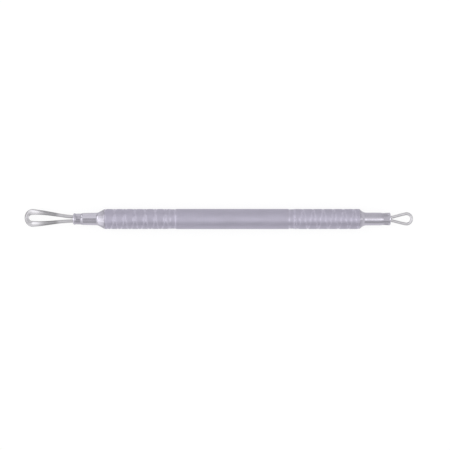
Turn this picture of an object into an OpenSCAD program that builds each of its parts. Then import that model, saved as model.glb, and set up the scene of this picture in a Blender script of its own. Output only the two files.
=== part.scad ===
// Blackhead extractor: a round bar handle with a wire loop crimped into each end.
// X runs along the tool, the large loop at -X and the small one at +X. The small loop lies in the XY
// plane and the large one bends down from it.
// Azimuths round the bar are degrees from +Y towards +Z.

/* [Handle barrel] */
// Diameter of the round bar
barrel_d = 6.35; // [6:0.05:7]
// Length of the bar between its two end faces
barrel_len = 80; // [70:1:100]
// Length of each cross-grooved grip, from the bar's end face to its ring groove
grip_len = 20.45; // [16:0.05:24]
// Width of the ring groove that closes each grip
ring_w = 1.6; // [1:0.1:2.4]
// Depth of the ring grooves, deeper than the grip's grooves so that those run out into it
ring_depth = 0.12; // [0.11:0.01:0.2]
// Slope length of a ring groove's two walls
ring_slope = 0.5; // [0.1:0.05:0.5]

/* [Grip grooves] */
// Advance of each helical groove in one turn
groove_pitch = 3.2; // [2.6:0.1:4]
// Width of a helical groove at the surface
groove_w = 1; // [0.7:0.05:1.2]
// Depth of a helical groove
groove_depth = 0.07; // [0.05:0.01:0.08]
// How far the grips lie below the surface of the centre section
grip_skim = 0.02; // [0.01:0.01:0.03]
// Azimuth where the grooves cross on the large-loop grip
large_cross_turn = 55; // [0:5:180]
// Distance of that grip's first crossing from the bar's end face
large_cross_at = 3; // [0:0.1:3.4]
// Azimuth where the grooves cross on the small-loop grip
small_cross_turn = 5; // [0:5:180]
// Distance of that grip's first crossing from the bar's end face
small_cross_at = 1.9; // [0:0.1:3.4]

/* [Ferrule fit] */
// Diameter of each ferrule's spigot
spigot_d = 4; // [3.4:0.1:4.6]
// Length of each spigot inside the bar
spigot_len = 8; // [5:0.5:12]
// Air left behind the spigot in its socket
socket_spare = 0.5; // [0.3:0.1:2]
// Radial clearance of a spigot in its socket
spigot_play = 0.02; // [0.01:0.01:0.05]
// Bevel on the spigot's inner end
spigot_bevel = 0.3; // [0.1:0.05:0.6]

/* [Large-loop ferrule] */
// Length from the bar's end face to the ferrule's tip face
large_end_len = 10; // [8:0.1:13]
// Step down from the bar's surface to the cone's foot
large_step = 0.03; // [0.01:0.01:0.2]
// Straight land between the bar and the cone
large_land = 0.32; // [0.3:0.01:0.8]
// Half-angle of the cone
large_cone = 33; // [28:1:40]
// Radius of the corner between land and cone
large_corner_r = 0.8; // [0.1:0.05:0.8]
// Radius of the fillet between cone and neck
large_fillet_r = 1; // [0.3:0.1:2]
// Diameter of the neck beside the cone
large_root_d = 3.87; // [3.7:0.01:4.4]
// Diameter of the neck at its tip
large_tip_d = 3.6; // [3.5:0.01:4.2]
// Bevel round the tip face
large_bevel = 0.3; // [0.1:0.05:0.4]

/* [Small-loop ferrule] */
// Length from the bar's end face to the ferrule's tip face
small_end_len = 9.7; // [8:0.1:13]
// Step down from the bar's surface to the cone's foot
small_step = 0.08; // [0.01:0.01:0.2]
// Straight land between the bar and the cone
small_land = 0.06; // [0.05:0.01:0.8]
// Half-angle of the cone
small_cone = 38; // [30:1:45]
// Radius of the corner between land and cone
small_corner_r = 0.1; // [0.02:0.01:0.12]
// Radius of the fillet between cone and neck
small_fillet_r = 1.8; // [0.3:0.1:2.2]
// Diameter of the neck beside the cone
small_root_d = 3.98; // [3.6:0.01:4.4]
// Diameter of the neck at its tip
small_tip_d = 3.98; // [3.4:0.01:4.2]
// Bevel round the tip face
small_bevel = 0.25; // [0.1:0.05:0.4]

/* [Crimps] */
// Number of jaw marks round each neck
crimp_jaws = 4; // [3:1:6]
// Radius of a jaw, a rod with ball ends that lies along the neck
jaw_r = 1; // [0.8:0.05:1.2]
// Straight length of a jaw
jaw_len = 0.9; // [0.6:0.1:1.2]
// Length over which the waist between the marks widens again
waist_run = 1; // [0.6:0.1:1.2]
// Depth of a jaw mark on the large-loop neck
large_crimp_depth = 0.28; // [0.2:0.01:0.3]
// Distance of those marks' middle from the tip face
large_crimp_back = 1.9; // [1.6:0.05:2.4]
// Azimuth of the first of those marks
large_crimp_turn = 68; // [0:1:90]
// Narrowing of the large-loop neck between its marks
large_waist = 0.06; // [0.04:0.01:0.1]
// Distance of its narrowest place from the tip face
large_waistline = 2.3; // [2:0.1:2.6]
// Depth of a jaw mark on the small-loop neck
small_crimp_depth = 0.28; // [0.2:0.01:0.4]
// Distance of those marks' middle from the tip face
small_crimp_back = 1.45; // [1.4:0.05:2.4]
// Azimuth of the first of those marks
small_crimp_turn = 52; // [0:1:90]
// Narrowing of the small-loop neck between its marks
small_waist = 0.15; // [0.04:0.01:0.2]
// Distance of its narrowest place from the tip face
small_waistline = 2.3; // [2:0.1:2.6]

/* [Loops in the ferrules] */
// Length of the legs inside each ferrule
leg_len = 6; // [4:0.5:8]
// Radial clearance of the legs in their bore
leg_play = 0.02; // [0.01:0.01:0.05]
// Air left behind the legs in their bore
bore_spare = 0.4; // [0.2:0.1:1]

/* [Large loop] */
// Diameter of the wire before it is pressed
large_wire_d = 1.06; // [0.9:0.02:1.2]
// Gap between the two legs
large_leg_gap = 0.28; // [0.1:0.02:0.3]
// Reach of the loop beyond the ferrule's tip face
large_reach = 15.42; // [12:0.02:20]
// Outside width of the eye
large_eye_d = 5.62; // [4.6:0.02:6]
// Angle at which the arms leave the eye
large_eye_angle = 1.5; // [1:0.5:4]
// Width of the pressed band at the eye's sides
large_side_w = 1.86; // [1.2:0.02:2]
// Width of the pressed band at the eye's tip
large_tip_w = 1.4; // [1.1:0.05:1.8]
// Distance from the ferrule's tip face to where the loop starts to bend down
large_bend_at = 3.5; // [2:0.1:5]
// Radius of that bend
large_bend_r = 40; // [20:1:50]
// Angle of that bend
large_bend = 11; // [4:1:12]
// Sideways lean of the loop in its plane
large_lean = 1.5; // [0:0.5:3]
// Outward bow of the loop's arm at +Y
large_bow = 0.1; // [0:0.01:0.2]

/* [Small loop] */
// Diameter of the wire
small_wire_d = 0.9; // [0.7:0.05:1]
// Gap between the two legs
small_leg_gap = 0.1; // [0.06:0.01:0.2]
// Reach of the loop beyond the ferrule's tip face
small_reach = 7.15; // [6:0.05:10]
// Outside width of the eye
small_eye_d = 4.02; // [3.4:0.02:4.6]
// Angle at which the arms leave the eye
small_eye_angle = 11; // [8:1:13]
// Sideways lean of the loop in its plane
small_lean = 2; // [0:0.5:3]

/* [Hidden] */
$fn = 96;
barrel_r = barrel_d / 2;
end_x = barrel_len / 2;
grip_x = end_x - grip_len;
centre_x = grip_x - ring_w;
core_r = barrel_r - ring_depth;
spigot_r = spigot_d / 2;
large_bore_r = large_leg_gap / 2 + large_wire_d + leg_play;
small_bore_r = small_leg_gap / 2 + small_wire_d + leg_play;
bore_len = leg_len + bore_spare;
past = 1;
round_steps = 6;
waist_steps = 4;
grip_sides = 24;
grip_steps = grip_sides / 2;
wire_sides = 12;
arm_steps = 10;
// Power by which a loop's wire widens from the ferrule to the eye
widening = 2.5;
eye_steps = 18;
satin = "#b1adbd";
polished = "#c3c0cb";
bright = "#cfced3";

// The unit vector along v
function unit(v) = v / norm(v);

// The angle a brought between -180 and 180
function short_way(a) = a > 180 ? a - 360 : a < -180 ? a + 360 : a;

// The arc of radius r that rounds the corner b of the path a, b, c
function rounded(a, b, c, r) =
    let (u = unit(a - b), v = unit(c - b), half = acos(u * v) / 2)
    let (mid = b + unit(u + v) * r / sin(half), p = b + u * r / tan(half), q = b + v * r / tan(half))
    let (from = atan2(p[1] - mid[1], p[0] - mid[0]), to = atan2(q[1] - mid[1], q[0] - mid[0]))
    let (sweep = short_way(to - from))
    [for (i = [0 : round_steps]) let (t = from + sweep * i / round_steps) mid + r * [cos(t), sin(t)]];

// Turns a revolved piece from +Z onto the X axis, outwards at side 1 or -1
module along_x(side) {
    rotate([0, 90 * side, 0]) children();
}

// Triangles between the rings of sides points with numbers i and k
// Odd rows of a staggered grid split their four-sided cells along the other diagonal
function band(i, k, sides, staggered) = [for (j = [0 : sides - 1])
    let (next = (j + 1) % sides)
    let (a = i * sides + j, b = i * sides + next, c = k * sides + j, d = k * sides + next)
    each (staggered && j % 2 == 1 ? [[a, c, b], [c, d, b]] : [[a, c, d], [a, d, b]])];

// How deep a groove cuts at distance d from its middle line, in shares of its depth
function groove_shape(d) = abs(d) < groove_w / 2 ? (1 + cos(360 * d / groove_w)) / 2 : 0;

// Distance d brought to the nearest turn of a groove
function nearest_turn(d) = d - groove_pitch * round(d / groove_pitch);

// Surface radius at distance x and turn t from a crossing of the two opposite helical grooves
function grip_r(x, t) =
    let (advance = groove_pitch * t / 360)
    let (cut = max(groove_shape(nearest_turn(x - advance)), groove_shape(nearest_turn(x + advance))))
    barrel_r - grip_skim - groove_depth * cut;

// What the grooving takes off one grip: a sleeve whose inside is the grip's surface, on a staggered
// grid with rows of points along both helices. It starts in the ring groove and ends past the bar.
// side is 1 or -1, cross_at the first crossing's distance from the end face, turn its azimuth
module grip_sleeve(side, cross_at, turn) {
    step = groove_pitch / grip_steps;
    cross_x = end_x - cross_at;
    low = floor((grip_x - ring_w / 2 - cross_x) / step);
    high = ceil((end_x + past - cross_x) / step);
    inside = [for (k = [low : high], j = [0 : grip_sides - 1])
        let (x = (k - (j % 2) / 2) * step, t = 360 * j / grip_sides, r = grip_r(x, t))
        [cross_x + x, r * cos(t), r * sin(t)]];
    outside = [for (k = [high, low], j = [0 : grip_sides - 1])
        let (t = 360 * j / grip_sides, r = barrel_r + past)
        [cross_x + k * step, r * cos(t), r * sin(t)]];
    rows = high - low;
    last = rows + 2;
    faces = concat(
        [for (i = [0 : rows - 1]) each band(i, i + 1, grip_sides, true)],
        band(rows, rows + 1, grip_sides, false),
        band(rows + 1, last, grip_sides, false),
        band(last, 0, grip_sides, false));
    rotate([side * turn, side > 0 ? 0 : 180, 0])
        polyhedron(points = concat(inside, outside), faces = [for (f = faces) [f[2], f[1], f[0]]]);
}

// Outline of the bar's plain half as [distance from the middle, radius], with its ring groove
function bar_half() = [
    [centre_x - ring_slope, barrel_r],
    [centre_x, core_r],
    [grip_x - ring_slope, core_r],
    [grip_x, barrel_r],
    [end_x, barrel_r],
    [end_x, 0]];

// The bar with its ring grooves, before its grips are grooved
module plain_bar() {
    half = bar_half();
    last = len(half) - 1;
    outline = concat(half, [for (i = [last : -1 : 0]) [-half[i][0], half[i][1]]]);
    along_x(1) rotate_extrude() polygon([for (p = outline) [p[1], p[0]]]);
}

// The bar with its grips, ring grooves and the blind socket in each end
module handle_barrel() {
    color(satin) difference() {
        plain_bar();
        grip_sleeve(1, small_cross_at, small_cross_turn);
        grip_sleeve(-1, large_cross_at, large_cross_turn);
        for (side = [-1, 1])
            along_x(side) translate([0, 0, end_x - spigot_len - socket_spare])
                cylinder(r = spigot_r + spigot_play, h = spigot_len + socket_spare + past);
    }
}

// Outline of a ferrule from its spigot to its tip, as [radius, distance from the bar's end face]
// The crimp narrows the neck in a straight line from the tip to its waistline, then it widens again
// by half a wave.
function ferrule_outline(length, foot_r, land, cone, corner_r, fillet_r, root_r, tip_r, bevel, waist, line) =
    let (foot = [foot_r, 0], top = [foot_r, land])
    let (root = [root_r, land + (foot_r - root_r) / tan(cone)], tip = [tip_r, length])
    let (flare = (root_r - tip_r) / (length - root[1]))
    concat(
        [[0, -spigot_len], [spigot_r - spigot_bevel, -spigot_len]],
        [[spigot_r, spigot_bevel - spigot_len], [spigot_r, 0], foot],
        rounded(foot, top, root, corner_r),
        rounded(top, root, tip, fillet_r),
        [for (i = [waist_steps : -1 : 0])
            let (back = line + waist_run * i / waist_steps)
            [tip_r + flare * back - waist * (1 + cos(180 * i / waist_steps)) / 2, length - back]],
        [[tip_r - waist * bevel / line, length - bevel], [tip_r - bevel, length], [0, length]]);

// The marks that the jaws of a crimping tool leave round a neck
module jaw_marks(middle, neck_r, depth) {
    end = [for (i = [0 : round_steps])
        let (t = 90 * i / round_steps)
        [jaw_r * cos(t), jaw_len / 2 + jaw_r * sin(t)]];
    outline = concat([for (i = [round_steps : -1 : 0]) [end[i][0], -end[i][1]]], end);
    for (i = [0 : crimp_jaws - 1])
        rotate([0, 0, 360 * i / crimp_jaws]) translate([0, neck_r - depth + jaw_r, middle])
            rotate_extrude() polygon(outline);
}

// Cone and neck at the large loop, with its spigot, the bore for the loop's legs and the crimp
module large_end_ferrule() {
    outline = ferrule_outline(large_end_len, barrel_r - large_step, large_land, large_cone,
        large_corner_r, large_fillet_r, large_root_d / 2, large_tip_d / 2, large_bevel,
        large_waist, large_waistline);
    color(polished) translate([-end_x, 0, 0]) along_x(-1) difference() {
        rotate_extrude() polygon(outline);
        translate([0, 0, large_end_len - bore_len]) cylinder(r = large_bore_r, h = bore_len + past);
        rotate([0, 0, -large_crimp_turn])
            jaw_marks(large_end_len - large_crimp_back, large_tip_d / 2, large_crimp_depth);
    }
}

// Cone and neck at the small loop, with its spigot, the bore for the loop's legs and the crimp
module small_end_ferrule() {
    outline = ferrule_outline(small_end_len, barrel_r - small_step, small_land, small_cone,
        small_corner_r, small_fillet_r, small_root_d / 2, small_tip_d / 2, small_bevel,
        small_waist, small_waistline);
    color(polished) translate([end_x, 0, 0]) along_x(1) difference() {
        rotate_extrude() polygon(outline);
        translate([0, 0, small_end_len - bore_len]) cylinder(r = small_bore_r, h = bore_len + past);
        rotate([0, 0, small_crimp_turn])
            jaw_marks(small_end_len - small_crimp_back, small_tip_d / 2, small_crimp_depth);
    }
}

// A bend is [where it starts along a loop, its radius, its angle]; a straight loop has an angle of 0
// How far a loop has turned down at distance x of its run laid straight
function bent(x, bend) = min(max((x - bend[0]) / bend[1] * 180 / PI, 0), bend[2]);

// Length of the bend's arc
function arc_of(bend) = bend[1] * bend[2] * PI / 180;

// The point of a bent loop that lies at [x, y] of its run laid straight
function bent_down(p, bend) =
    let (turn = bent(p[0], bend), beyond = max(p[0] - bend[0] - arc_of(bend), 0))
    [min(p[0], bend[0]) + bend[1] * sin(turn) + beyond * cos(bend[2]), p[1],
        -bend[1] * (1 - cos(turn)) - beyond * sin(bend[2])];

// Section of the wire at one station of its run: centre, direction in the loop's plane and band width
function wire_ring(centre, along, width, wire_d, bend) =
    let (turn = bent(centre[0], bend), middle = bent_down(centre, bend))
    let (out = [-along[1] * cos(turn), along[0], along[1] * sin(turn)], lift = [sin(turn), 0, cos(turn)])
    [for (j = [0 : wire_sides - 1])
        let (t = 360 * j / wire_sides)
        middle + out * width / 2 * cos(t) + lift * wire_d * wire_d / width / 2 * sin(t)];

// A loop from its leg at +Y round the eye to its leg at -Y, the ferrule's tip face at x = 0
// Between a leg and the eye each arm blends a straight run with a half wave, so that it leaves the
// eye at the angle asked for, and the arm at -Y is bowed outwards by half a sine wave. The pressed
// band keeps the wire's cross-section area.
module wire_loop(wire_d, leg_gap, reach, eye_d, eye_angle, side_w, tip_w, lean, bow, bend) {
    leg_y = (leg_gap + wire_d) / 2;
    eye_r = (eye_d - side_w) / 2;
    beyond = (reach - bend[0] - bend[1] * sin(bend[2])) / cos(bend[2]);
    eye_x = bend[0] + arc_of(bend) + beyond - tip_w / 2 - eye_r;
    arm_x = eye_x - eye_r * sin(eye_angle);
    arm_y = eye_r * cos(eye_angle);
    straight = tan(eye_angle) * arm_x / (arm_y - leg_y);
    arm = [for (i = [0 : arm_steps])
        let (u = 1 - i / (arm_steps + 1), wave = (1 + cos(180 * u)) / 2)
        let (y = leg_y + (arm_y - leg_y) * (straight * (1 - u) + (1 - straight) * wave))
        [arm_x * (1 - u), y, wire_d + (side_w - wire_d) * pow(1 - u, widening)]];
    eye = [for (i = [0 : eye_steps])
        let (t = (90 + eye_angle) * (1 - 2 * i / eye_steps))
        [eye_x + eye_r * cos(t), eye_r * sin(t), tip_w + (side_w - tip_w) * pow(sin(t), 2)]];
    back = [for (i = [arm_steps : -1 : 0])
        [arm[i][0], -arm[i][1] - bow * sin(180 * arm[i][0] / arm_x), arm[i][2]]];
    run = concat([[-leg_len, leg_y, wire_d]], arm, eye, back, [[-leg_len, -leg_y, wire_d]]);
    centres = [for (p = run) [p[0], p[1] + tan(lean) * max(p[0], 0)]];
    last = len(run) - 1;
    rings = [for (i = [0 : last])
        let (before = centres[max(i - 1, 0)], after = centres[min(i + 1, last)])
        wire_ring(centres[i], unit(after - before), run[i][2], wire_d, bend)];
    sides = wire_sides;
    end_low = (last + 1) * sides;
    end_high = end_low + 1;
    points = concat(
        [for (ring = rings) each ring],
        [[centres[0][0], centres[0][1], 0], [centres[last][0], centres[last][1], 0]]);
    faces = concat(
        [for (i = [0 : last - 1]) each band(i, i + 1, sides, false)],
        [for (j = [0 : sides - 1]) [end_low, j, (j + 1) % sides]],
        [for (j = [0 : sides - 1]) [end_high, last * sides + (j + 1) % sides, last * sides + j]]);
    polyhedron(points = points, faces = faces);
}

// The large loop, its wire pressed flat round the eye and bent down beyond the neck
module large_loop() {
    color(bright) translate([-end_x - large_end_len, 0, 0]) rotate([0, 0, 180])
        wire_loop(large_wire_d, large_leg_gap, large_reach, large_eye_d, large_eye_angle,
            large_side_w, large_tip_w, -large_lean, large_bow,
            [large_bend_at, large_bend_r, large_bend]);
}

// The small loop, its wire left round and straight
module small_loop() {
    color(bright) translate([end_x + small_end_len, 0, 0])
        wire_loop(small_wire_d, small_leg_gap, small_reach, small_eye_d, small_eye_angle,
            small_wire_d, small_wire_d, -small_lean, 0, [0, 1, 0]);
}

handle_barrel();
large_end_ferrule();
small_end_ferrule();
large_loop();
small_loop();
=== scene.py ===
"""Dresses the packed blackhead extractor: its bar, its two ferrules and its two wire loops.

X runs along the tool, and azimuths are turned from +Y towards +Z. Properties and objects hold metres,
and the surfaces are worked out in millimetres, as whole arrays. Each surface stands for a CAD node.
"""

import math

import bpy
import numpy as np
from bpy.props import FloatProperty, FloatVectorProperty, IntProperty, PointerProperty
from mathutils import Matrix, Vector


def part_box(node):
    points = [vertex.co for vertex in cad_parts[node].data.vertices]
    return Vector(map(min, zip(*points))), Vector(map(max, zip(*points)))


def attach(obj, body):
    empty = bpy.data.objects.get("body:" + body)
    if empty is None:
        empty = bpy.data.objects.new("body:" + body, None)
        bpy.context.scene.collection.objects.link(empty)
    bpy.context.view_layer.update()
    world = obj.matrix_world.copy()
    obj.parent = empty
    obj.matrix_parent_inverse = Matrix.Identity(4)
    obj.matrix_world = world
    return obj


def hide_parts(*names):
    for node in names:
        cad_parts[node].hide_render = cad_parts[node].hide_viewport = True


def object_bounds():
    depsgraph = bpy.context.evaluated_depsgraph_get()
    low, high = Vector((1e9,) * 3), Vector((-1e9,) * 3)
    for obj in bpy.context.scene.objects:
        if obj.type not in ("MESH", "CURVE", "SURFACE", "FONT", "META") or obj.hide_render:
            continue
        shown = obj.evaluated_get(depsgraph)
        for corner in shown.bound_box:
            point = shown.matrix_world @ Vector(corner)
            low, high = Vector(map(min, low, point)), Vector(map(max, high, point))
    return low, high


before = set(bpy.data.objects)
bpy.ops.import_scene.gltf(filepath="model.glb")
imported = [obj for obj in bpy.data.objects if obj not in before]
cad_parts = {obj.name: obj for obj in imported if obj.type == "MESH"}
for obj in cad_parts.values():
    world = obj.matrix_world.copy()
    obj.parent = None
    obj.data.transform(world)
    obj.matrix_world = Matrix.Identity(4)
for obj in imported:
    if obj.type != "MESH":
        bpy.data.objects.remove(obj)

bl_info = {
    "name": "Blackhead Extractor",
    "version": (1, 0, 0),
    "blender": (4, 5, 0),
    "location": "3D View > Sidebar > Extractor",
    "description": "Builds a double-ended loop extractor over its packed solids",
    "category": "Add Mesh",
}

MM = 0.001
CAD_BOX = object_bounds()
PHOTO_SIDE_PX = 450
PHOTO_MM_PER_PX = 0.3144
PHOTO_ORIGIN_PX = (231.75, 218.5)
CAMERA_CLIP = (0.01, 100.0)


def box_mm(node):
    """Lowest and highest corner of a CAD node in millimetres."""
    low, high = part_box(node)
    return np.array(low) / MM, np.array(high) / MM


BAR_LOW, BAR_HIGH = box_mm("handle_barrel")
LARGE_LOW = box_mm("large_end_ferrule")[0]
SMALL_HIGH = box_mm("small_end_ferrule")[1]
LARGE_LOOP_LOW = box_mm("large_loop")[0]
SMALL_LOOP_HIGH = box_mm("small_loop")[1]


# Properties


def length(label, description, millimetres):
    """A property for a length, given in millimetres."""
    return FloatProperty(
        name=label,
        description=description,
        default=millimetres * MM,
        precision=5,
        unit="LENGTH",
        subtype="DISTANCE",
    )


def angle(label, description, degrees):
    """A property for an angle, given in degrees."""
    return FloatProperty(
        name=label,
        description=description,
        default=math.radians(degrees),
        unit="ROTATION",
        subtype="ANGLE",
    )


def share(label, description, value):
    """A property for a number between 0 and 1."""
    return FloatProperty(
        name=label,
        description=description,
        default=value,
        min=0,
        max=1,
        subtype="FACTOR",
    )


def colour(label, description, rgb):
    """A property for a linear colour."""
    return FloatVectorProperty(
        name=label,
        description=description,
        default=rgb,
        min=0,
        max=1,
        size=3,
        subtype="COLOR",
    )


def property_group(name, title, keys):
    """A PropertyGroup class of that name with these properties."""
    return type(name, (bpy.types.PropertyGroup,), {"__doc__": title, "__annotations__": keys})


class BarSizes(bpy.types.PropertyGroup):
    """Sizes of the bar handle"""

    radius: length("Radius", "Radius of the plain centre section", 3.175)
    half_length: length("Half length", "Half the bar's length", BAR_HIGH[0])
    grip_length: length("Grip", "Length of each cross-grooved grip", 20.45)
    ring_width: length("Ring width", "Width of each ring groove", 1.6)
    ring_depth: length("Ring depth", "Depth of each ring groove", 0.12)
    ring_slope: length("Ring slope", "Slope at each side of a ring", 0.5)
    pitch: length("Pitch", "Advance of a grip groove in one turn", 3.2)
    groove_width: length("Groove width", "Width of a grip groove", 1.0)
    groove_depth: length("Groove depth", "Depth of a grip groove", 0.07)
    skim: length("Skim", "How far the grips lie below the centre section", 0.02)
    large_turn: angle("Large-end crossing", "Azimuth where its grooves cross", 55)
    large_cross: length("Large-end first", "First crossing to end face", 3.0)
    small_turn: angle("Small-end crossing", "Azimuth where its grooves cross", 5)
    small_cross: length("Small-end first", "First crossing to end face", 1.9)
    edge: length("Edge", "Rounding of the bar's end edges", 0.04)
    socket_radius: length("Socket radius", "Radius of the blind sockets", 2.02)
    socket_depth: length("Socket depth", "Depth of the blind sockets", 8.5)


def ferrule_sizes(name, title, values):
    """A PropertyGroup class for one ferrule with its own defaults."""
    keys = {
        "length": length("Length", "Bar's end face to tip face", values["length"]),
        "foot": length("Foot radius", "Radius where the cone starts", values["foot"]),
        "land": length("Land", "Straight land before the cone", values["land"]),
        "cone": angle("Cone", "Half-angle of the cone", values["cone"]),
        "corner": length("Corner", "Rounding of the cone's edge", values["corner"]),
        "fillet": length("Fillet", "Fillet at the neck", values["fillet"]),
        "root": length("Root radius", "Neck beside the cone", values["root"]),
        "tip": length("Tip radius", "Neck at its tip", values["tip"]),
        "bevel": length("Bevel", "Bevel round the tip face", values["bevel"]),
        "bore": length("Bore radius", "Bore for the loop's legs", values["bore"]),
        "bore_depth": length("Bore depth", "Depth of that bore", 6.4),
        "spigot": length("Spigot radius", "Radius of the spigot", 2.0),
        "spigot_length": length("Spigot length", "Length of the spigot", 8.0),
        "mark": length("Dent length", "Straight length of a jaw's rod", values["mark"]),
        "mark_depth": length("Dent depth", "Depth of a dent", values["depth"]),
        "mark_back": length("Dent place", "Dents' middle to tip", values["back"]),
        "mark_turn": angle("Dent turn", "Azimuth of the first dent", values["turn"]),
        "nose": length("Jaw nose", "Radius of a jaw's rod", 1.0),
        "waist": length("Waist", "Narrowing between the jaws", values["waist"]),
        "rim": length("Rim", "Rim at the tip face that isn't narrowed", values["rim"]),
        "press": length("Press", "Length over which it narrows", values["press"]),
        "waistline": length("Waistline", "Narrowest place to tip face", values["line"]),
        "waist_run": length("Waist run", "Length over which it widens again", 1.0),
        "jaws": IntProperty(name="Jaws", description="Dents round it", default=4),
    }
    return property_group(name, title, keys)


LargeFerruleSizes = ferrule_sizes(
    "LargeFerruleSizes",
    "Sizes of the large-loop ferrule",
    {
        "length": BAR_LOW[0] - LARGE_LOW[0],
        "foot": 3.145,
        "land": 0.2,
        "cone": 28.5,
        "corner": 0.8,
        "fillet": 1.9,
        "root": 1.99,
        "tip": 1.84,
        "bevel": 0.3,
        "bore": 1.22,
        "mark": 0.9,
        "depth": 0.28,
        "back": 1.9,
        "turn": 68,
        "waist": 0.16,
        "rim": 0.5,
        "press": 0.35,
        "line": 2.2,
    },
)
SmallFerruleSizes = ferrule_sizes(
    "SmallFerruleSizes",
    "Sizes of the small-loop ferrule",
    {
        "length": SMALL_HIGH[0] - BAR_HIGH[0],
        "foot": 3.095,
        "land": 0.06,
        "cone": 38,
        "corner": 0.1,
        "fillet": 2.4,
        "root": 2.04,
        "tip": 2.04,
        "bevel": 0.25,
        "bore": 0.97,
        "mark": 0.9,
        "depth": 0.28,
        "back": 1.45,
        "turn": 52,
        "waist": 0.13,
        "rim": 0,
        "press": 2.3,
        "line": 2.3,
    },
)


def loop_sizes(name, title, values):
    """A PropertyGroup class for one loop with its own defaults."""
    keys = {
        "wire": length("Wire", "Diameter of the wire", values["wire"]),
        "gap": length("Leg gap", "Gap between the legs", values["gap"]),
        "leg": length("Leg", "Length of the legs in the ferrule", 6.0),
        "reach": length("Reach", "Tip face to the loop's tip", values["reach"]),
        "eye": length("Eye", "Outside width of the eye", values["eye"]),
        "leave": angle("Leave", "Arms' angle at the eye", values["leave"]),
        "side": length("Side width", "Band at the eye's sides", values["side"]),
        "tip": length("Tip width", "Band at the eye's tip", values["tip"]),
        "bow": length("Bow", "Outward bow of the arm at +Y", values["bow"]),
        "lean": angle("Lean", "Sideways lean of the loop", values["lean"]),
        "bend": angle("Bend", "Downward bend of the loop", values["bend"]),
        "bend_at": length("Bend place", "Tip face to the bend", 3.5),
        "bend_radius": length("Bend radius", "Radius of the bend", 40.0),
    }
    return property_group(name, title, keys)


LargeLoopSizes = loop_sizes(
    "LargeLoopSizes",
    "Sizes of the large loop",
    {
        "wire": 1.06,
        "gap": 0.28,
        "reach": LARGE_LOW[0] - LARGE_LOOP_LOW[0],
        "eye": 5.62,
        "leave": 1.5,
        "side": 1.86,
        "tip": 1.4,
        "bow": 0.1,
        "lean": -1.5,
        "bend": 11,
    },
)
SmallLoopSizes = loop_sizes(
    "SmallLoopSizes",
    "Sizes of the small loop",
    {
        "wire": 0.9,
        "gap": 0.02,
        "reach": SMALL_LOOP_HIGH[0] - SMALL_HIGH[0],
        "eye": 4.18,
        "leave": 11,
        "side": 0.94,
        "tip": 0.9,
        "bow": 0,
        "lean": 0.5,
        "bend": 0,
    },
)


class SteelFinishes(bpy.types.PropertyGroup):
    """Colours and roughness of the three steel finishes"""

    satin: colour("Satin", "Colour of the satin bar", (0.462, 0.44, 0.531))
    satin_roughness: share("Satin roughness", "Roughness of the satin bar", 0.48)
    polished: colour("Polished", "Colour of the necks", (0.512, 0.494, 0.56))
    polished_roughness: share("Polished roughness", "Roughness of the necks", 0.14)
    wire: colour("Wire", "Colour of the loops", (0.56, 0.55, 0.575))
    wire_roughness: share("Wire roughness", "Roughness of the round wire", 0.34)


class StudioSettings(bpy.types.PropertyGroup):
    """Camera, floor and light of the studio"""

    distance: length("Camera distance", "Camera above the tool's axis", 600)
    sensor: length("Sensor", "Width of the camera's sensor", 36)
    floor_side: length("Floor", "Side of the square floor", 6000)
    floor_glow: FloatProperty(
        name="Floor glow", description="Light given off by the floor", default=0.86
    )
    floor_white: share("Floor white", "Whiteness of the floor", 0.15)
    sky: FloatProperty(name="Sky", description="Brightness of the tent", default=1.0)
    lamp_place: FloatVectorProperty(
        name="Lamp",
        description="Middle of the overhead lamp",
        default=(0.195, -0.068, 0.45),
        subtype="XYZ",
        unit="LENGTH",
    )
    lamp_size: FloatVectorProperty(
        name="Lamp size",
        description="The overhead lamp's two sides",
        default=(0.24, 0.23),
        size=2,
        unit="LENGTH",
    )
    lamp_light: FloatProperty(
        name="Lamp light", description="Radiance of the lamp", default=0.72
    )


# Surfaces

# Points round each kind of section, and the angle in degrees past which an edge is drawn sharp.
BAR_SIDES = 120
FERRULE_SIDES = 144
WIRE_SIDES = 36
SHARP_ANGLE = 28

# Longest steps along the bar's outline, and the step from one run of them to the next, in millimetres.
PLAIN_STEP = 0.6
RING_STEP = 0.08
GRIP_STEP = 0.075
RUN_GAP = 0.02

# Along a ferrule's outline: longest step, roundings in millimetres, and points on its arcs.
NECK_STEP = 0.06
CORNER_POINTS = 12
FILLET_POINTS = 24
RIM_ROUNDING = 0.15
RIM_POINTS = 6
LIP_ROUNDING = 0.04
LIP_POINTS = 5
SPIGOT_CHAMFER = 0.3

# Softness of the edge between waist and dent, in millimetres, and the share of the tip's radius
# beyond which a point is on the neck's outside.
DENT_SOFTNESS = 0.015
OUTSIDE_SHARE = 0.9

# Points along a loop's arm and round its eye.
ARM_POINTS = 70
EYE_POINTS = 97

# The power by which the wire widens along an arm, and the widening from which it counts as pressed.
WIDENING = 2.5
PRESSED_FROM = 1.2

# How painted shade spreads from a bulb's tip: by its outward direction, and round the wire's section.
TIP_SHADE_AHEAD = 1.4
TIP_SHADE_OUTSIDE = 1.5
TIP_SHADE_ON_TOP = 0.4


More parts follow.
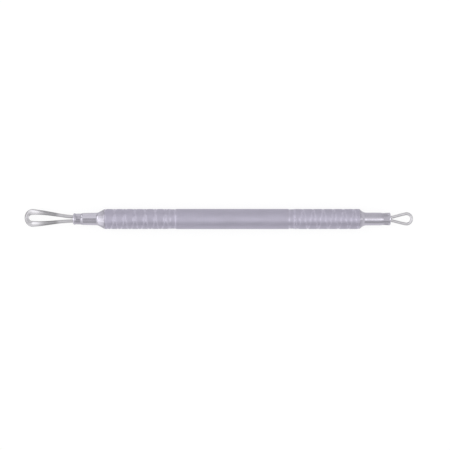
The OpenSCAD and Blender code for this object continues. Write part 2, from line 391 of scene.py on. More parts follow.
def closed_skin(name, rings, poles, values, uv=None):
    """An object with a closed skin over rings, an array of rings by points by x, y and z.

    Ring i joins ring i + 1 by quads, point j joins point j + 1 and the last the first, and each end
    ring joins its own pole by triangles. Faces are turned outwards by the sign of the volume. Values
    and UV arrays have one number for each point of the rings.
    """
    count, sides = rings.shape[:2]
    points = np.concatenate([rings.reshape(-1, 3), np.asarray(poles, float)])
    start = (np.arange(count - 1) * sides)[:, None]
    row = np.arange(sides)
    turn = (row + 1) % sides
    quads = np.stack(
        [start + row, start + sides + row, start + sides + turn, start + turn], axis=-1
    ).reshape(-1, 4)
    last = (count - 1) * sides
    first_pole = np.full(sides, count * sides)
    near = np.stack([first_pole, row, turn], axis=-1)
    far = np.stack([first_pole + 1, last + turn, last + row], axis=-1)
    tris = np.concatenate([quads[:, [0, 1, 2]], quads[:, [0, 2, 3]], near, far])
    a, b, c = points[tris[:, 0]], points[tris[:, 1]], points[tris[:, 2]]
    if np.einsum("ij,ij->i", a, np.cross(b, c)).sum() < 0:
        quads, near, far = quads[:, ::-1], near[:, ::-1], far[:, ::-1]
    corners = np.concatenate([quads.ravel(), near.ravel(), far.ravel()])
    sizes = np.concatenate([np.full(len(quads), 4), np.full(2 * sides, 3)])
    mesh = bpy.data.meshes.new(name)
    mesh.vertices.add(len(points))
    mesh.vertices.foreach_set("co", (points * MM).ravel())
    mesh.loops.add(len(corners))
    mesh.loops.foreach_set("vertex_index", corners.astype(np.int32))
    mesh.polygons.add(len(sizes))
    starts = np.concatenate([[0], np.cumsum(sizes)[:-1]])
    mesh.polygons.foreach_set("loop_start", starts.astype(np.int32))
    mesh.polygons.foreach_set("use_smooth", np.ones(len(sizes), bool))
    mesh.update(calc_edges=True)
    mesh.set_sharp_from_angle(angle=math.radians(SHARP_ANGLE))
    for key, value in values.items():
        flat = np.concatenate([value.ravel(), [0.0, 0.0]])
        layer = mesh.attributes.new(key, "FLOAT", "POINT")
        layer.data.foreach_set("value", flat.astype(np.float32))
    if uv is not None:
        along = np.concatenate([uv[0].ravel(), [uv[0][0, 0], uv[0][-1, 0]]])
        around = np.concatenate([uv[1].ravel(), [0.0, 0.0]])
        layer = mesh.uv_layers.new(name="along_wire")
        pairs = np.stack([along[corners], around[corners]], axis=-1)
        layer.data.foreach_set("uv", pairs.ravel().astype(np.float32))
    mesh.validate()
    piece = bpy.data.objects.new(name, mesh)
    bpy.context.scene.collection.objects.link(piece)
    return piece


def arc_corner(before, corner, after, radius, points=CORNER_POINTS):
    """Points on the arc of that radius that rounds a corner, its centre on the corner's bisector."""
    before, corner, after = (np.asarray(p, float) for p in (before, corner, after))
    u = (before - corner) / np.linalg.norm(before - corner)
    v = (after - corner) / np.linalg.norm(after - corner)
    half = math.acos(float(np.dot(u, v))) / 2
    middle = (u + v) / np.linalg.norm(u + v)
    centre = corner + middle * radius / math.sin(half)
    start = corner + u * radius / math.tan(half) - centre
    end = corner + v * radius / math.tan(half) - centre
    first = math.atan2(start[1], start[0])
    sweep = math.atan2(end[1], end[0]) - first
    sweep = (sweep + math.pi) % (2 * math.pi) - math.pi
    turn = first + sweep * np.linspace(0, 1, points)
    return centre + radius * np.stack([np.cos(turn), np.sin(turn)], axis=-1)


def walked(outline, step):
    """An outline walked from corner to corner in equal steps no longer than step."""
    outline = np.asarray(outline, float)
    runs = []
    for here, there in zip(outline[:-1], outline[1:]):
        steps = max(math.ceil(np.linalg.norm(there - here) / step), 1)
        share_walked = np.arange(steps)[:, None] / steps
        runs.append(here + (there - here) * share_walked)
    return np.concatenate([*runs, outline[-1:]])


def turned(along, radius, azimuth):
    """Points at distance along X, that radius from the axis and that azimuth, as broadcast arrays."""
    along, radius, azimuth = np.broadcast_arrays(along, radius, azimuth)
    return np.stack(
        [along, radius * np.cos(azimuth), radius * np.sin(azimuth)], axis=-1
    )


def groove_depth(distance, width):
    """Share of a groove's depth at that distance from its middle line: one cosine wave, from 0 to 1."""
    inside = np.abs(distance) < width / 2
    return np.where(inside, (1 + np.cos(2 * np.pi * distance / width)) / 2, 0)


def crossed_grooves(along, azimuth, cross, turn, pitch, width):
    """Share of depth where two helical grooves of opposite hand run.

    Each groove advances by the pitch in a turn, one with and one against the azimuth, and both pass
    through the crossing. The distance to a groove is wrapped to the nearest turn, and where the two
    overlap, the deeper one counts.
    """
    advance = pitch * (azimuth - turn) / (2 * np.pi)
    ahead = along - cross - advance
    back = along - cross + advance
    ahead -= pitch * np.round(ahead / pitch)
    back -= pitch * np.round(back / pitch)
    return np.maximum(groove_depth(ahead, width), groove_depth(back, width))


def bar_rings(sizes):
    """Rings of the bar, its poles, and the shares of groove depth and of rubbing at each point.

    Half the outline is walked from the middle over a ring and a grip into the socket, and mirrored.
    The grips' grooves lie that share of their depth below the skimmed radius. A ring is rubbed most
    at the foot of its side towards the middle and at the top of its other side, and less the further
    a point lies from these two.
    """
    end = sizes.half_length / MM
    grip = end - sizes.grip_length / MM
    centre = grip - sizes.ring_width / MM
    full = sizes.radius / MM
    low = full - sizes.ring_depth / MM
    skimmed = full - sizes.skim / MM
    edge = sizes.edge / MM
    socket, depth = sizes.socket_radius / MM, sizes.socket_depth / MM
    slope = sizes.ring_slope / MM
    ring_edge, ring_end = centre - slope, grip - slope
    half = np.concatenate(
        [
            walked([[0, full], [ring_edge, full]], PLAIN_STEP),
            walked([[ring_edge + RUN_GAP, full], [centre, low], [ring_end, low]], RING_STEP),
            walked([[ring_end + RUN_GAP, low], [grip, skimmed], [end - edge, skimmed]], GRIP_STEP),
            [[end, skimmed - edge], [end, socket], [end - depth, socket]],
        ]
    )
    outline = np.concatenate([half[:0:-1] * [-1, 1], half])
    azimuth = np.linspace(0, 2 * np.pi, BAR_SIDES, endpoint=False)[None, :]
    x, r = outline[:, :1], outline[:, 1:]
    pitch, width = sizes.pitch / MM, sizes.groove_width / MM
    small_cross = end - sizes.small_cross / MM
    large_cross = -end + sizes.large_cross / MM
    share_small = crossed_grooves(x, azimuth, small_cross, sizes.small_turn, pitch, width)
    share_large = crossed_grooves(x, azimuth, large_cross, sizes.large_turn, pitch, width)
    depth_share = np.where(x > 0, share_small, share_large)
    on_grip = (np.abs(x) > grip) & (r > (socket + skimmed) / 2)
    depth_share = np.where(on_grip, depth_share, 0)
    floor = skimmed - sizes.groove_depth / MM * depth_share
    radius = np.where(on_grip, np.minimum(r, floor), r)
    poles = [[-(end - depth), 0, 0], [end - depth, 0, 0]]
    # mask of the painted highlight on each ring's edges
    from_edge = np.minimum(np.abs(np.abs(x) - centre), np.abs(np.abs(x) - grip))
    rubbed = np.broadcast_to(np.clip(1 - from_edge / slope, 0, 1), radius.shape)
    return turned(x, radius, azimuth), poles, {"cut": depth_share, "rubbed": rubbed}


def ferrule_outline(sizes):
    """Outline of a ferrule as distance from the bar's end face and radius, spigot to bore bottom.

    The cone is as long as its fall in radius over the tangent of its half-angle. Arcs round its two
    corners, the rim, the tip face and the bore's mouth.
    """
    tip_at, foot = sizes.length / MM, sizes.foot / MM
    root, tip = sizes.root / MM, sizes.tip / MM
    bevel, bore = sizes.bevel / MM, sizes.bore / MM
    spigot, inside = sizes.spigot / MM, sizes.spigot_length / MM
    land = sizes.land / MM
    neck = land + (foot - root) / math.tan(sizes.cone)
    corner = arc_corner([0, foot], [land, foot], [neck, root], sizes.corner / MM)
    bevel_start, bevel_end = [tip_at - bevel, tip], [tip_at, tip - bevel]
    bore_edge, bore_end = [tip_at, bore], [tip_at - sizes.bore_depth / MM, bore]
    fillet = arc_corner([land, foot], [neck, root], [tip_at, tip], sizes.fillet / MM, FILLET_POINTS)
    rim = arc_corner([neck, root], bevel_start, bevel_end, RIM_ROUNDING, RIM_POINTS)
    lip = arc_corner(bevel_start, bevel_end, bore_edge, LIP_ROUNDING, LIP_POINTS)
    mouth = arc_corner(bevel_end, bore_edge, bore_end, LIP_ROUNDING, LIP_POINTS)
    back_rim = [[-inside, spigot - SPIGOT_CHAMFER], [SPIGOT_CHAMFER - inside, spigot]]
    shoulder = [[0, spigot], [0, foot]]
    shank = walked([fillet[-1] + [NECK_STEP / 2, 0], rim[0]], NECK_STEP)
    return np.concatenate(
        [back_rim, shoulder, corner, fillet, shank, rim[1:], lip, mouth, [bore_end]]
    )


def crimped(along, radius, azimuth, sizes):
    """The neck's radius after crimping: a shallow waist all round and a dent under each jaw.

    The waist narrows in a straight line behind a rim at the tip face, and beyond its waistline widens
    again by half a cosine wave. A jaw is a rod with ball ends that lies along the neck. The dent's
    radius is where a line out from the axis first meets the rod, and waist and dent are blended by
    the logarithm of the sum of their exponentials.
    """
    flat, depth = sizes.mark / MM / 2, sizes.mark_depth / MM
    tip, nose = sizes.tip / MM, sizes.nose / MM
    tip_at = sizes.length / MM
    back = tip_at - along
    waistline = sizes.waistline / MM
    rise = np.clip((back - waistline) / (sizes.waist_run / MM), 0, 1)
    pressed = np.clip((back - sizes.rim / MM) / (sizes.press / MM), 0, 1)
    narrowing = pressed * (1 + np.cos(np.pi * rise)) / 2
    narrowed = radius - sizes.waist / MM * narrowing
    beyond = np.maximum(np.abs(back - sizes.mark_back / MM) - flat, 0)
    centre = tip - depth + nose
    spread = 2 * np.pi / sizes.jaws
    turn = azimuth - sizes.mark_turn
    turn = turn - spread * np.round(turn / spread)
    inside = nose**2 - beyond**2 - (centre * np.sin(turn)) ** 2
    dent = centre * np.cos(turn) - np.sqrt(np.clip(inside, 0, None))
    dent = np.where(inside > 0, dent, 2 * tip)
    deep = np.exp((tip - narrowed) / DENT_SOFTNESS) + np.exp((tip - dent) / DENT_SOFTNESS)
    both = tip - DENT_SOFTNESS * np.log(deep)
    near = (back < waistline + sizes.waist_run / MM) & (radius > tip * OUTSIDE_SHARE)
    return np.where(near, np.minimum(both, radius), radius)


def ferrule_rings(sizes, side):
    """Rings of a ferrule on the bar's end at side -1 or 1, its poles and how far each point is pressed.

    That share is the depth below the turned neck over the dents' full depth.
    """
    outline = ferrule_outline(sizes)
    azimuth = np.linspace(0, 2 * np.pi, FERRULE_SIDES, endpoint=False)[None, :]
    along, radius = outline[:, :1], outline[:, 1:]
    radius = np.broadcast_to(radius, (len(outline), FERRULE_SIDES))
    pressed = crimped(along, radius, azimuth, sizes)
    share_pressed = np.clip((radius - pressed) / (sizes.mark_depth / MM), 0, 1)
    end = side * BAR_HIGH[0]
    poles = [[end + side * outline[0, 0], 0, 0], [end + side * outline[-1, 0], 0, 0]]
    return turned(end + side * along, pressed, azimuth), poles, {"crimp": share_pressed}


def loop_run(sizes):
    """A loop's run from leg to leg as rows of centre x, centre y, band width and share pressed.

    The eye is an arc. An arm blends a straight run with a half cosine wave so that it leaves the eye
    at its angle and reaches the leg's height at the ferrule, and one arm has half a sine wave added
    outwards. The width grows along an arm by a power of the distance, and round the eye it changes
    with the sine's square. The lean shears the run sideways beyond the ferrule.
    """
    wire, side, tip = sizes.wire / MM, sizes.side / MM, sizes.tip / MM
    flat = 1 if side > PRESSED_FROM * wire else 0
    leg_y = (sizes.gap / MM + wire) / 2
    eye_r = (sizes.eye / MM - side) / 2
    start, radius, last = sizes.bend_at / MM, sizes.bend_radius / MM, sizes.bend
    beyond = (sizes.reach / MM - start - radius * math.sin(last)) / math.cos(last)
    eye_x = start + radius * last + beyond - tip / 2 - eye_r
    arm_x = eye_x - eye_r * math.sin(sizes.leave)
    arm_y = eye_r * math.cos(sizes.leave)
    straight = math.tan(sizes.leave) * arm_x / (arm_y - leg_y)
    u = np.linspace(1, 0, ARM_POINTS)[:-1]
    wave = (1 + np.cos(np.pi * u)) / 2
    rise = straight * (1 - u) + (1 - straight) * wave
    arm = np.stack(
        [
            arm_x * (1 - u),
            leg_y + (arm_y - leg_y) * rise,
            wire + (side - wire) * (1 - u) ** WIDENING,
            flat * (1 - u) ** WIDENING,
        ],
        axis=-1,
    )
    t = (np.pi / 2 + sizes.leave) * np.linspace(1, -1, EYE_POINTS)
    eye = np.stack(
        [
            eye_x + eye_r * np.cos(t),
            eye_r * np.sin(t),
            tip + (side - tip) * np.sin(t) ** 2,
            np.full_like(t, flat),
        ],
        axis=-1,
    )
    mirrored = [1, -1, 1, 1]
    bowed = arm * mirrored
    bowed[:, 1] -= sizes.bow / MM * np.sin(np.pi * (1 - u))
    leg = np.array([[-sizes.leg / MM, leg_y, wire, 0], [-sizes.leg / MM / 2, leg_y, wire, 0]])
    run = np.concatenate([leg, arm, eye, bowed[::-1], leg[::-1] * mirrored])
    run[:, 1] += math.tan(sizes.lean) * np.maximum(run[:, 0], 0)
    return run


def bent_down(flat, sizes):
    """Distance along the tool, height and slope of a loop's run after its downward bend.

    The run is straight up to the bend, then a circle's arc, then straight on at the arc's last slope.
    """
    start, radius, last = sizes.bend_at / MM, sizes.bend_radius / MM, sizes.bend
    slope = np.clip((flat - start) / radius, 0, last)
    beyond = np.maximum(flat - start - radius * last, 0)
    along = np.minimum(flat, start) + radius * np.sin(slope) + beyond * math.cos(last)
    height = -radius * (1 - np.cos(slope)) - beyond * math.sin(last)
    return along, height, slope


def loop_rings(sizes, side):
    """Rings of a loop beyond the ferrule at side -1 or 1, its poles, UV arrays and shares.

    A section is an ellipse that keeps the wire's area. It spans the run's normal in the loop's plane
    and the plane's own normal, both bent down. The shares say how far a point is pressed flat and how
    worn it is: most on the outer side of a pressed bulb's tip.
    """
    run = loop_run(sizes)
    centre, width = run[:, :2], run[:, 2:3]
    ahead = np.gradient(centre, axis=0)
    ahead /= np.linalg.norm(ahead, axis=1, keepdims=True)
    x, z, slope = bent_down(centre[:, 0], sizes)
    middle = np.stack([x, centre[:, 1], z], axis=-1)
    out = np.stack(
        [-ahead[:, 1] * np.cos(slope), ahead[:, 0], ahead[:, 1] * np.sin(slope)], axis=-1
    )
    lift = np.stack([np.sin(slope), np.zeros_like(slope), np.cos(slope)], axis=-1)
    t = np.linspace(0, 2 * np.pi, WIRE_SIDES, endpoint=False)[None, :]
    a, b = width / 2, (sizes.wire / MM) ** 2 / width / 2
    across, up = a * np.cos(t), b * np.sin(t)
    rings = middle[:, None] + out[:, None] * across[..., None] + lift[:, None] * up[..., None]
    poles = middle[[0, -1]]
    face = SMALL_HIGH[0] if side > 0 else -LARGE_LOW[0]
    shift = np.array([face, 0, 0])
    turn = np.array([side, side, 1])
    walk = np.concatenate([[0], np.cumsum(np.linalg.norm(np.diff(middle, axis=0), axis=1))])
    u = np.broadcast_to(walk[:, None], up.shape)
    v = np.broadcast_to(t / (2 * np.pi), up.shape)
    pressed = np.broadcast_to(run[:, 3:4], up.shape)
    # mask of painted shade on the outer side of a pressed bulb's tip
    at_tip = np.clip(TIP_SHADE_AHEAD * out[:, :1], 0, 1)
    outside = np.clip(TIP_SHADE_OUTSIDE * np.cos(t) + TIP_SHADE_ON_TOP, 0, 1)
    values = {"pressed": pressed, "worn": at_tip * outside * pressed}
    return (rings + shift) * turn, (poles + shift) * turn, (u, v), values


# Shader expressions


class Value:
    """A shader socket whose arithmetic adds Math nodes."""

    def __init__(self, graph, socket):
        self.graph = graph
        self.socket = socket

    def maths(self, operation, *others):
        """This value with others through one Math node."""
        return self.graph.add(
            "ShaderNodeMath", {"operation": operation}, dict(enumerate((self, *others)))
        )

    def __add__(self, other):
        return self.maths("ADD", other)

    __radd__ = __add__

    def __sub__(self, other):
        return self.maths("SUBTRACT", other)

    def __rsub__(self, other):
        return self.graph.add("ShaderNodeMath", {"operation": "SUBTRACT"}, {0: other, 1: self})

    def __mul__(self, other):
        return self.maths("MULTIPLY", other)

    __rmul__ = __mul__

    def clamped(self):
        """This value held between 0 and 1."""
        return self.graph.add("ShaderNodeClamp", {}, {0: self})

    def varied(self, span):
        """This noise about its mean of a half, over that span."""
        return span * (self - 0.5)

    def bump_between(self, low, high, soft):
        """1 between low and high, falling smoothly to 0 over the soft distance outside them."""
        rise = self.graph.ramped(self, low - soft, low)
        fall = self.graph.ramped(self, high, high + soft)
        return rise * (1 - fall)


class Graph:
    """A node tree written from the inside out."""

    def __init__(self, tree):
        self.tree = tree
        tree.nodes.clear()

    def add(self, kind, settings, values, output=0):
        """A node of that type, its settings made first: one of its outputs, or itself if it has none."""
        node = self.tree.nodes.new(kind)
        for key, value in settings.items():
            setattr(node, key, value)
        for key, value in values.items():
            if isinstance(value, Value):
                self.tree.links.new(value.socket, node.inputs[key])
            else:
                node.inputs[key].default_value = value
        return Value(self, node.outputs[output]) if node.outputs else node

    def ramped(self, value, low, high):
        """0 below low, 1 above high and a smooth step between."""
        return self.add(
            "ShaderNodeMapRange",
            {"interpolation_type": "SMOOTHSTEP"},
            {0: value, 1: low, 2: high, 3: 0.0, 4: 1.0},
        )

    def mixed(self, factor, first, second):
        """The colour between two by the factor."""
        settings = {"data_type": "RGBA", "clamp_factor": True}
        return self.add("ShaderNodeMix", settings, {0: factor, 6: first, 7: second}, 2)

    def noise(self, vector, scale, detail, roughness=0.5):
        """Fractal noise over a vector."""
        values = {"Vector": vector, "Scale": scale, "Detail": detail, "Roughness": roughness}
        return self.add("ShaderNodeTexNoise", {}, values)

    def place(self, kind="Object"):
        """The shaded point's place or direction, in coordinates of that kind."""
        return self.add("ShaderNodeTexCoord", {}, {}, kind)

    def attribute(self, name):
        """The mesh's value of that name at the shaded point."""
        return self.add("ShaderNodeAttribute", {"attribute_name": name}, {}, "Fac")

    def stretched(self, vector, scales):
        """The vector with each part multiplied by its own scale."""
        return self.add(
            "ShaderNodeVectorMath", {"operation": "MULTIPLY"}, {0: vector, 1: scales}
        )


# Sizes of the finishes' patterns, in cells to a metre along X, Y and Z or in all directions alike.
SATIN_GRAIN = 26000.0
SATIN_LINES = (14000.0, 500.0, 500.0)
SATIN_CLOUD = (150.0, 420.0, 420.0)
SATIN_PATCHES = 700.0
POLISHED_LINES = (22000.0, 300.0, 300.0)
POLISHED_WIPES = (260.0, 700.0, 700.0)
WIRE_CLOUD = 900.0

# Scratches of the drawn wire, in cells to a millimetre along it and to a turn round it.
WIRE_SCRATCHES = (0.7, 60.0, 1.0)

# Ranges of a noise over which a colour turns from its darker to its lighter tone, and over which the
# patches appear.
TONE_RANGE = (0.3, 0.7)
PATCH_RANGE = (0.3, 0.6)

# How far a cut groove or a ring's edge differs from the plain satin: a lighter colour that is a painted
# highlight, and a smoother finish.
CUT_HIGHLIGHT_TINT = 1.26
CUT_COLOUR_SHARE = 0.6
CUT_POLISH = 0.2
RING_SHEEN_SHARE = 0.8

# Radii between which painted shade grows up a cone's foot and leaves it again at its rim, and how dark
# the foot and the crimp dents are painted.
FOOT_SHADE_RADII = (2.15 * MM, 3.1 * MM)
RIM_RETURN = (3.11 * MM, 3.15 * MM)
FOOT_SHADE = 0.55
CRIMP_SHADE = 0.4
SHADED_NECK = 0.6

# Shares pressed between which the wire's arms get painted shade and lose it again, and how dark the arms
# and the bulb's tip are painted.
ARM_SHADE_STARTS = (0.05, 0.13)
ARM_SHADE_ENDS = (0.3, 0.85)
ARM_SHADE_DEPTH = 0.8
TIP_SHADE_DEPTH = 0.9
SHADED_WIRE = 0.5
PRESSED_POLISH = 0.14

# Height of every finish's pattern at full strength.
BUMP_HEIGHT = 0.01 * MM


def steel_material(name, tint, roughness, build):
    """A metal of that name on a Principled shader.

    Its colour, roughness, height and the height's strength come from build(graph, tint, roughness).
    """
    material = bpy.data.materials.new(name)
    material.use_nodes = True
    graph = Graph(material.node_tree)
    parts = build(graph, tint, roughness)
    normal = graph.add(
        "ShaderNodeBump",
        {},
        {"Strength": parts["strength"], "Distance": BUMP_HEIGHT, "Height": parts["height"]},
    )
    shader = graph.add(
        "ShaderNodeBsdfPrincipled",
        {},
        {
            "Base Color": parts["colour"],
            "Metallic": 1.0,
            "Roughness": parts["roughness"],
            "Normal": normal,
        },
    )
    graph.add("ShaderNodeOutputMaterial", {}, {"Surface": shader})
    return material


def tinted(rgb, factor):
    """A linear colour made lighter or darker, with alpha."""
    return (*[min(c * factor, 1.0) for c in rgb], 1.0)


def toned(graph, noise, tint, spread):
    """The tint, made darker or lighter by the spread as the noise falls or rises about its middle."""
    rise = graph.ramped(noise, *TONE_RANGE)
    return graph.mixed(rise, tinted(tint, 1 - spread), tinted(tint, 1 + spread))


def satin_finish(graph, tint, roughness):
    """Bead-blasted bar: fine grain over faint turning lines, with soft handling marks.

    The cut grooves are lighter and smoother than the bar in patches, and the rings' rubbed edges evenly.
    """
    place = graph.place()
    grain = graph.noise(place, SATIN_GRAIN, detail=2.0, roughness=0.6)
    lines = graph.noise(graph.stretched(place, SATIN_LINES), scale=1.0, detail=3.0)
    cloud = graph.noise(graph.stretched(place, SATIN_CLOUD), scale=1.0, detail=3.0)
    groove = graph.attribute("cut")
    edge = graph.attribute("rubbed")
    tone = (0.5 * cloud + 0.3 * lines + 0.2 * grain).clamped()
    base = toned(graph, tone, tint, spread=0.06)
    patchy = graph.noise(place, SATIN_PATCHES, detail=2.0)
    # painted highlight: lighter colour on groove patches and ring edges, which are also made smoother
    glint_mask = groove * graph.ramped(patchy, *PATCH_RANGE) + RING_SHEEN_SHARE * edge
    base = graph.mixed(CUT_COLOUR_SHARE * glint_mask, base, tinted(tint, CUT_HIGHLIGHT_TINT))
    rough = roughness + cloud.varied(span=0.1) + grain.varied(span=0.06)
    rough = (rough - CUT_POLISH * glint_mask).clamped()
    height = 0.6 * grain + 0.4 * lines
    return {"colour": base, "roughness": rough, "height": height, "strength": 0.12}


def polished_finish(graph, tint, roughness):
    """Polished neck: hair-fine turning lines round it and faint wipe marks.

    The polish fades up the cone, but not on its rim, and the jaws left the crimp duller.
    """
    place = graph.place()
    lines = graph.noise(graph.stretched(place, POLISHED_LINES), scale=1.0, detail=3.0)
    wipes = graph.noise(graph.stretched(place, POLISHED_WIPES), scale=1.0, detail=4.0, roughness=0.6)
    base = toned(graph, wipes, tint, spread=0.04)
    crimp = graph.attribute("crimp")
    out = graph.stretched(place, (0.0, 1.0, 1.0))
    radius = graph.add("ShaderNodeVectorMath", {"operation": "LENGTH"}, {0: out}, 1)
    foot = graph.ramped(radius, *FOOT_SHADE_RADII) * (1 - graph.ramped(radius, *RIM_RETURN))
    # painted shade on the cone's foot and in the crimp's dents
    painted_shade = FOOT_SHADE * foot + CRIMP_SHADE * crimp
    base = graph.mixed(painted_shade.clamped(), base, tinted(tint, SHADED_NECK))
    rough = (roughness + wipes.varied(span=0.1) + lines.varied(span=0.05)).clamped()
    return {"colour": base, "roughness": rough, "height": lines, "strength": 0.06}


def wire_finish(graph, tint, roughness):
    """Drawn wire: scratches that follow its length, by its UV map in millimetres and turns.

    It is dull where it starts to be pressed flat, smoother where it is flat, and worn at the tip.
    """
    uv = graph.add("ShaderNodeUVMap", {"uv_map": "along_wire"}, {})
    lines = graph.noise(graph.stretched(uv, WIRE_SCRATCHES), scale=1.0, detail=3.0)
    place = graph.place()
    cloud = graph.noise(place, WIRE_CLOUD, detail=3.0)
    base = toned(graph, lines, tint, spread=0.05)
    pressed = graph.attribute("pressed")
    worn = graph.attribute("worn")
    started = graph.ramped(pressed, *ARM_SHADE_STARTS)
    arm_shade = started * (1 - graph.ramped(pressed, *ARM_SHADE_ENDS))
    # painted shade on the arms and at the bulb's tip
    painted_shade = (ARM_SHADE_DEPTH * arm_shade + TIP_SHADE_DEPTH * worn).clamped()
    base = graph.mixed(painted_shade, base, tinted(tint, SHADED_WIRE))
    rough = roughness + cloud.varied(span=0.12) + lines.varied(span=0.08)
    rough = (rough - PRESSED_POLISH * pressed).clamped()
    return {"colour": base, "roughness": rough, "height": lines, "strength": 0.08}


def dress(piece, node, material):
    """Gives a piece its material and its place in the frame, in its CAD node's stead."""
    piece.data.materials.append(material)
    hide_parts(node)
    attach(piece, "root")


def finished(name):
    """The satin, polished or wire steel, made once from the scene's finishes."""
    if name in bpy.data.materials:
        return bpy.data.materials[name]
    finishes = bpy.context.scene.extractor_finishes
    makers = {"satin": satin_finish, "polished": polished_finish, "wire": wire_finish}
    tint = tuple(getattr(finishes, name))
    roughness = getattr(finishes, name + "_roughness")
    return steel_material(name, tint, roughness, makers[name])


# Operators


class BuildBar(bpy.types.Operator):
    """Build the satin bar with its ring grooves and cross-grooved grips"""

    bl_idname = "extractor.build_bar"
    bl_label = "Build Bar Handle"

    def execute(self, context):
        rings, poles, shares = bar_rings(context.scene.extractor_bar)
        piece = closed_skin("bar_handle", rings, poles, shares)
        dress(piece, "handle_barrel", finished("satin"))
        return {"FINISHED"}


class BuildFerrules(bpy.types.Operator):
    """Build the two polished ferrules with their crimp marks"""

    bl_idname = "extractor.build_ferrules"
    bl_label = "Build Ferrules"

    def execute(self, context):
        scene = context.scene
        ends = (
            ("large_end_neck", "large_end_ferrule", scene.extractor_large_ferrule, -1),
            ("small_end_neck", "small_end_ferrule", scene.extractor_small_ferrule, 1),
        )
        for name, node, sizes, side in ends:
            rings, poles, shares = ferrule_rings(sizes, side)
            piece = closed_skin(name, rings, poles, shares)
            dress(piece, node, finished("polished"))
        return {"FINISHED"}


class BuildLoops(bpy.types.Operator):
    """Build the two wire loops with their legs"""

    bl_idname = "extractor.build_loops"
    bl_label = "Build Wire Loops"

    def execute(self, context):
        scene = context.scene
        ends = (
            ("large_wire_loop", "large_loop", scene.extractor_large_loop, -1),
            ("small_wire_loop", "small_loop", scene.extractor_small_loop, 1),
        )
        for name, node, sizes, side in ends:
            rings, poles, uv, shares = loop_rings(sizes, side)
            piece = closed_skin(name, rings, poles, shares, uv)
            dress(piece, node, finished("wire"))
        return {"FINISHED"}


def make_floor(studio):
    """A plain pale floor at the bar's lowest line, left out of the steel's reflections."""
    side = studio.floor_side / 2
    corners = [(-side, -side), (side, -side), (side, side), (-side, side)]
    level = CAD_BOX[0].z
    mesh = bpy.data.meshes.new("floor")
    mesh.from_pydata([(x, y, level) for x, y in corners], [], [(0, 1, 2, 3)])
    floor = bpy.data.objects.new("floor", mesh)
    bpy.context.scene.collection.objects.link(floor)
    material = bpy.data.materials.new("pale_floor")
    material.use_nodes = True
    graph = Graph(material.node_tree)
    white = (*[studio.floor_white] * 3, 1.0)
    shader = graph.add(
        "ShaderNodeBsdfPrincipled",
        {},
        {
            "Base Color": white,
            "Roughness": 0.9,
            "Specular IOR Level": 0.1,
            "Emission Color": (1.0, 1.0, 1.0, 1.0),
            "Emission Strength": studio.floor_glow,
        },
    )
    graph.add("ShaderNodeOutputMaterial", {}, {"Surface": shader})
    mesh.materials.append(material)
    floor.visible_glossy = False


# Light of the tent's white cloth, and what it gains below the level of the tool and at its two ends.
TENT_BASE = 0.92
BELOW_LIGHT = 0.04
END_LIGHT = 1.6

# Sines of the angle below the level, and of the angle towards X, over which either gain sets in.
BELOW_EDGE = (0.0, 0.3)
END_EDGE = (0.975, 0.995)

# Soft-edged patches on the cloth, named for the surfaces that show them. Each holds, in degrees, its
# lowest and highest angle towards X and its soft edge there, the same across Y, and the light added.
TENT_PATCHES = {
    "top of the small neck": (2.0, 34.0, 3.0, -24.0, 8.0, 8.0, 0.04),
    "top of the bar": (-30.0, 34.0, 8.0, -28.0, 6.0, 12.0, 0.05),
    "bar at +Y": (-30.0, 36.0, 10.0, 42.0, 130.0, 18.0, -0.13),
    "large cone": (-72.0, -50.0, 8.0, -60.0, 30.0, 20.0, 0.08),
    "large cone and bulb at +Y": (-70.0, -26.0, 4.0, 0.0, 46.0, 16.0, 0.26),
    "large bulb at +Y": (-46.0, -25.0, 4.0, 10.0, 50.0, 18.0, 0.61),
    "top of the large cone": (-80.0, -36.0, 9.0, -44.0, 4.0, 10.0, 0.6),
    "large arms at -Y": (-24.0, -13.0, 3.0, -70.0, -16.0, 8.0, 0.16),
    "large cone at -Y": (-72.0, -40.0, 6.0, -120.0, -40.0, 12.0, 0.45),
    "ends of the small neck": (22.0, 44.0, 8.0, -24.0, 10.0, 10.0, 0.1),
    "top of the large neck": (-10.0, -4.5, 2.0, -28.0, 8.0, 6.0, -0.36),
    "bar at -Y": (-13.0, 32.0, 8.0, -78.0, -41.0, 9.0, -0.31),
    "large neck at +Y": (-12.0, -5.0, 3.0, 26.0, 110.0, 12.0, 0.32),
    "large arms at +Y": (-24.0, -14.0, 3.0, 4.0, 80.0, 10.0, -0.26),
    "large cone at +Y": (-68.0, -40.0, 6.0, 36.0, 120.0, 14.0, 0.1),
}


def make_tent(studio):
    """The light tent as the world's light, by its angle towards X and its turn about the tool's axis.

    White cloth all round carries soft-edged rectangles that are lighter or darker than it. They are
    placed by the arc sine of X and by the arc tangent of Y over Z.
    """
    world = bpy.data.worlds.new("tent")
    world.use_nodes = True
    graph = Graph(world.node_tree)
    heading = graph.place("Generated")
    split = graph.add("ShaderNodeSeparateXYZ", {}, {0: heading})
    node = split.socket.node
    x, y, z = (Value(graph, node.outputs[i]) for i in range(3))
    to_degrees = 180 / math.pi
    along = x.maths("ARCSINE") * to_degrees
    across = y.maths("ARCTAN2", z) * to_degrees
    light = graph.add("ShaderNodeValue", {}, {})
    light.socket.default_value = TENT_BASE
    for x_low, x_high, x_soft, y_low, y_high, y_soft, added in TENT_PATCHES.values():
        here = along.bump_between(x_low, x_high, x_soft)
        light = light + added * here * across.bump_between(y_low, y_high, y_soft)
    light = light + BELOW_LIGHT * graph.ramped(0.0 - z, *BELOW_EDGE)
    light = light + END_LIGHT * graph.ramped(x.maths("ABSOLUTE"), *END_EDGE)
    shader = graph.add("ShaderNodeBackground", {}, {"Color": light, "Strength": studio.sky})
    graph.add("ShaderNodeOutputWorld", {}, {"Surface": shader})
    bpy.context.scene.world = world


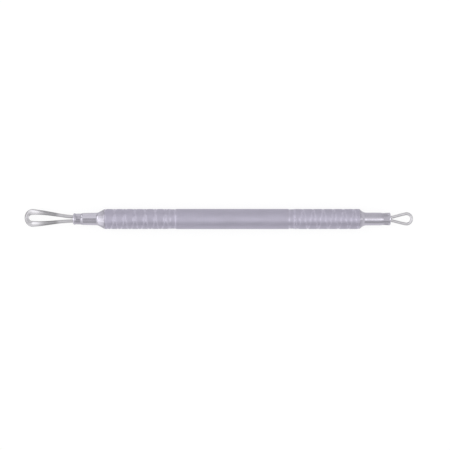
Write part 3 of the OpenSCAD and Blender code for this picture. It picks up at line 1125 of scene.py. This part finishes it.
def make_camera(studio):
    """A camera straight above the tool, framed as the photograph is."""
    data = bpy.data.cameras.new("camera")
    camera = bpy.data.objects.new("camera", data)
    bpy.context.scene.collection.objects.link(camera)
    middle = (PHOTO_SIDE_PX - 1) / 2
    offset = (middle - PHOTO_ORIGIN_PX[0], PHOTO_ORIGIN_PX[1] - middle)
    camera.location = Vector(
        (offset[0] * PHOTO_MM_PER_PX * MM, offset[1] * PHOTO_MM_PER_PX * MM, studio.distance)
    )
    width = PHOTO_SIDE_PX * PHOTO_MM_PER_PX * MM
    data.sensor_width = studio.sensor / MM
    data.lens = data.sensor_width * studio.distance / width
    data.clip_start, data.clip_end = CAMERA_CLIP
    bpy.context.scene.camera = camera


def make_lamp(studio):
    """A soft rectangular lamp over the small-loop end, beside the camera's view."""
    data = bpy.data.lights.new("overhead", "AREA")
    data.shape = "RECTANGLE"
    data.size, data.size_y = studio.lamp_size
    data.energy = studio.lamp_light * math.pi * data.size * data.size_y
    lamp = bpy.data.objects.new("overhead", data)
    bpy.context.scene.collection.objects.link(lamp)
    lamp.location = Vector(studio.lamp_place)


class BuildStage(bpy.types.Operator):
    """Set out the floor, the light tent, the lamp and the camera"""

    bl_idname = "extractor.build_stage"
    bl_label = "Build Stage"

    def execute(self, context):
        studio = context.scene.extractor_studio
        make_floor(studio)
        make_tent(studio)
        make_lamp(studio)
        make_camera(studio)
        context.scene.view_settings.view_transform = "Standard"
        return {"FINISHED"}


class ExtractorPanel(bpy.types.Panel):
    """The build steps and their sizes"""

    bl_idname = "VIEW3D_PT_extractor"
    bl_label = "Blackhead Extractor"
    bl_space_type = "VIEW_3D"
    bl_region_type = "UI"
    bl_category = "Extractor"

    def draw(self, context):
        for operator in OPERATORS:
            self.layout.operator(operator.bl_idname)
        for key, group in GROUPS.items():
            box = self.layout.box()
            box.label(text=group.__doc__)
            for name in group.__annotations__:
                box.prop(getattr(context.scene, key), name)


GROUPS = {
    "extractor_bar": BarSizes,
    "extractor_large_ferrule": LargeFerruleSizes,
    "extractor_small_ferrule": SmallFerruleSizes,
    "extractor_large_loop": LargeLoopSizes,
    "extractor_small_loop": SmallLoopSizes,
    "extractor_finishes": SteelFinishes,
    "extractor_studio": StudioSettings,
}
OPERATORS = (BuildBar, BuildFerrules, BuildLoops, BuildStage)


def register():
    """Registers the classes and hangs the property groups on the scene."""
    for group in (*GROUPS.values(), *OPERATORS, ExtractorPanel):
        bpy.utils.register_class(group)
    for key, group in GROUPS.items():
        setattr(bpy.types.Scene, key, PointerProperty(type=group))


def unregister():
    """Takes all of it back."""
    for key in GROUPS:
        delattr(bpy.types.Scene, key)
    for group in reversed((*GROUPS.values(), *OPERATORS, ExtractorPanel)):
        bpy.utils.unregister_class(group)


def main():
    """Registers the add-on, builds everything in order and notes the two boxes."""
    register()
    bpy.ops.extractor.build_stage()
    bpy.ops.extractor.build_bar()
    bpy.ops.extractor.build_ferrules()
    bpy.ops.extractor.build_loops()


if __name__ == "__main__":
    main()
